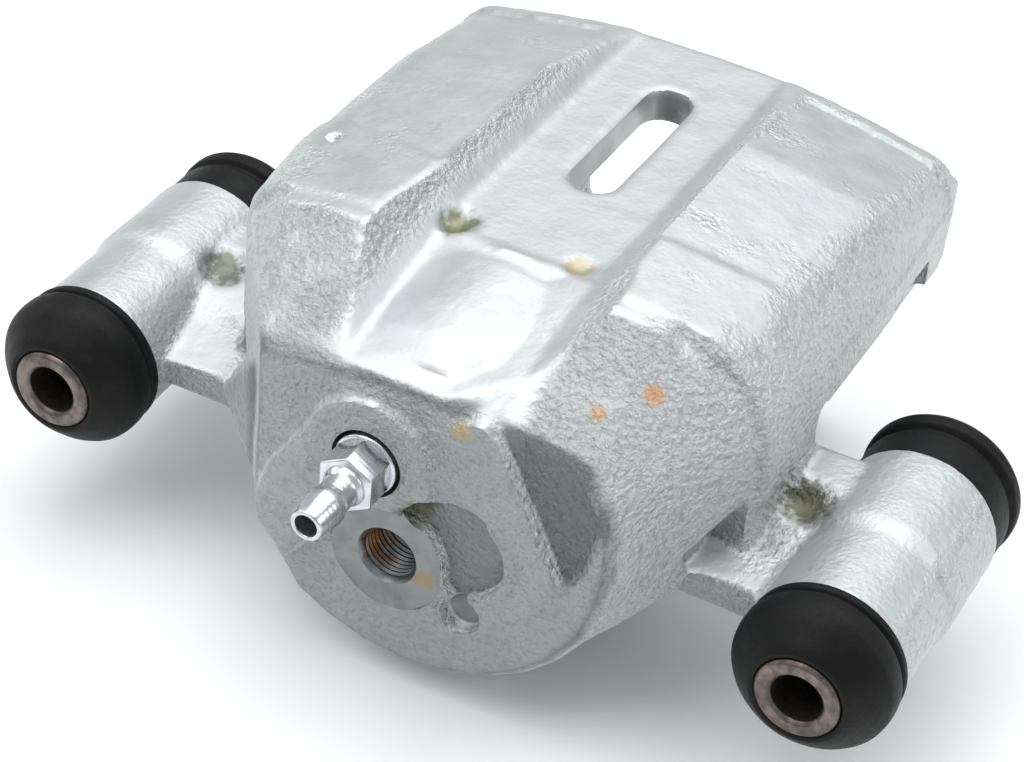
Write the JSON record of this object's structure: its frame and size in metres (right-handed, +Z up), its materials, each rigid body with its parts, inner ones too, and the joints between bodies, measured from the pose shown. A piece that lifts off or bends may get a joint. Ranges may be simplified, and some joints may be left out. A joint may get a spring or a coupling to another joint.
{
  "type": "brake caliper",
  "caption": "Zinc-plated floating disc brake caliper: a closed cylinder, arched bridge with window and fingers, and two ears holding collars in rubber boots.",
  "frame": {"origin": "under the centre of the whole assembly's bounding box, on the plane the caliper rests on", "axes": "+X from one guide collar to the other, +Y along the piston axis from the closed end to the fingers (outboard), +Z up, away from the wheel axis"},
  "size_m": [0.1602, 0.1264, 0.0714],
  "materials": {
    "cast_housing": "bright zinc plated rough casting",
    "piston_steel": "ground and chrome plated",
    "seal_rubber": "satin",
    "wire_steel": "drawn wire",
    "bleed_screw_steel": "turned and bright zinc plated",
    "collar_steel": "turned, dark and oily",
    "bush_rubber": "matt moulded",
    "boot_rubber": "satin moulded"
  },
  "bodies": {
    "housing": {"housing": "cast_housing", "piston_seal": "seal_rubber", "piston_boot": "seal_rubber", "boot_set_ring": "wire_steel", "bush_left": "bush_rubber", "bush_right": "bush_rubber", "boot_left_inboard": "boot_rubber", "boot_left_outboard": "boot_rubber", "boot_right_inboard": "boot_rubber", "boot_right_outboard": "boot_rubber"},
    "piston": {"piston": "piston_steel"},
    "collar_left": {"collar_left": "collar_steel"},
    "collar_right": {"collar_right": "collar_steel"},
    "bleed_screw": {"bleed_screw": "bleed_screw_steel"}
  },
  "joints": [
    {"name": "piston_slide", "type": "slide", "parent": "housing", "child": "piston", "axis": [0, 1, 0], "range_m": [0, 0.018]},
    {"name": "collar_left_slide", "type": "slide", "parent": "housing", "child": "collar_left", "axis": [0, 1, 0], "range_m": [-0.005, 0.005]},
    {"name": "collar_right_slide", "type": "slide", "parent": "housing", "child": "collar_right", "axis": [0, 1, 0], "range_m": [-0.005, 0.005]},
    {"name": "bleed_screw_turn", "type": "hinge", "parent": "housing", "child": "bleed_screw", "pos_m": [-0.0065, -0.04325, 0.0435], "axis": [0, -1, 0], "range_deg": [0, 270]}
  ]
}
